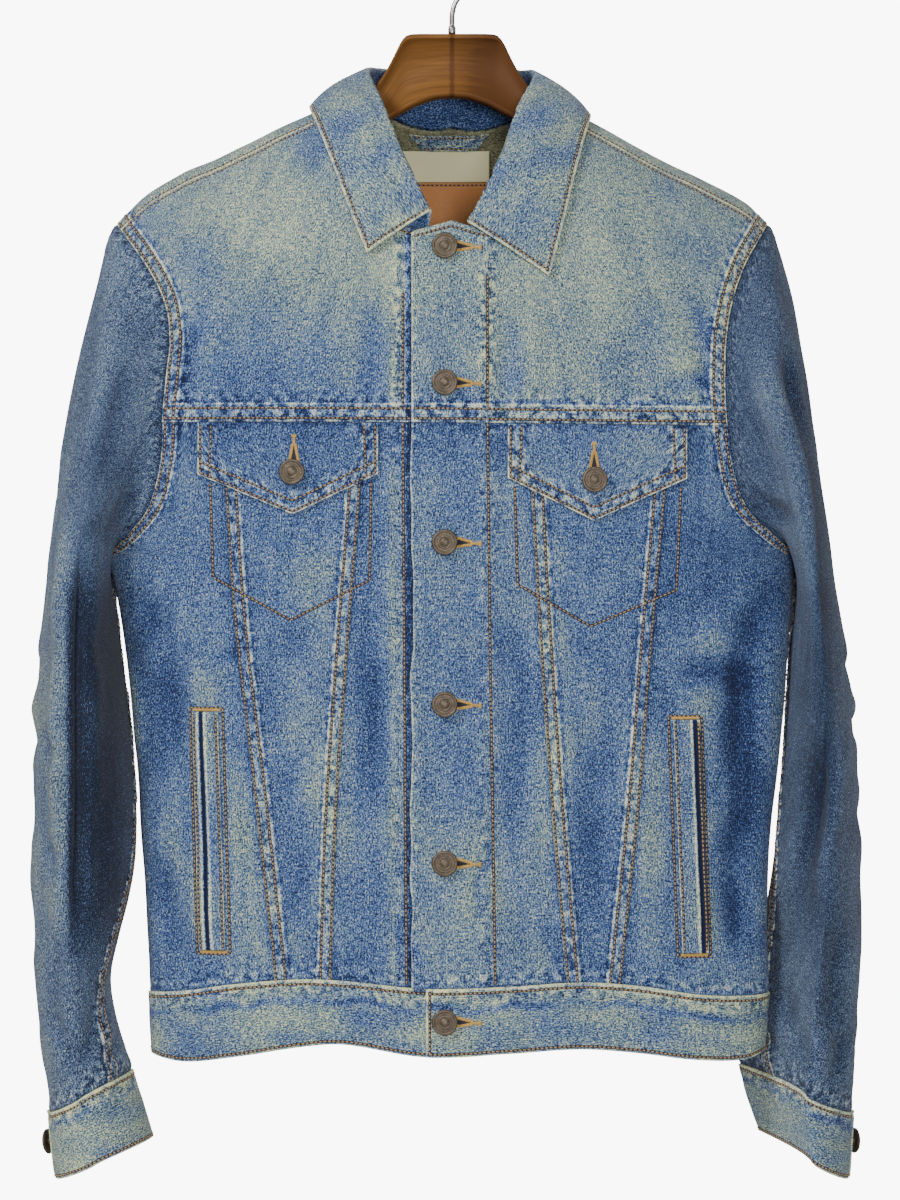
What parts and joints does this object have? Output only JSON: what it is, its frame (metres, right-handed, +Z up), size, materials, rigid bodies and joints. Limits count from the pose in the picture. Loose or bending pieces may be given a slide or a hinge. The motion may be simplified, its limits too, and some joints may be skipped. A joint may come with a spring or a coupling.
{
  "type": "denim jacket on a wooden clothes hanger",
  "caption": "Buttoned trucker jacket in washed denim with pointed collar, chest flaps, hand welts and V seams, hung on a wooden hanger",
  "frame": {"origin": "inner top of the hanger's hook, where a rail carries it", "axes": "+Z up, the front of the jacket faces -Y, the wearer's left is at +X"},
  "size_m": [0.585, 0.1492, 0.886],
  "materials": {
    "denim": "washed twill, worn pale at the edges",
    "button_metal": "aged",
    "label_cotton": "plain woven tape",
    "patch_leather": "plain, stitched round",
    "hanger_wood": "stained and varnished",
    "hook_steel": "polished wire"
  },
  "bodies": {
    "root": {"front_yoke_right": "denim", "front_centre_right": "denim", "front_v_right": "denim", "front_side_right": "denim", "back_side_right": "denim", "flap_right": "denim", "welt_right": "denim", "sleeve_upper_right": "denim", "sleeve_under_right": "denim", "cuff_right": "denim", "front_yoke_left": "denim", "front_centre_left": "denim", "front_v_left": "denim", "front_side_left": "denim", "back_side_left": "denim", "flap_left": "denim", "welt_left": "denim", "sleeve_upper_left": "denim", "sleeve_under_left": "denim", "cuff_left": "denim", "back_yoke": "denim", "back_centre": "denim", "waistband": "denim", "collar": "denim", "hang_loop": "denim", "front_button_1": "button_metal", "front_button_2": "button_metal", "front_button_3": "button_metal", "front_button_4": "button_metal", "front_button_5": "button_metal", "front_button_6": "button_metal", "flap_button_right": "button_metal", "cuff_button_right": "button_metal", "flap_button_left": "button_metal", "cuff_button_left": "button_metal", "neck_label": "label_cotton", "neck_patch": "patch_leather", "hanger_wood": "hanger_wood", "hanger_hook": "hook_steel"}
  },
  "joints": []
}
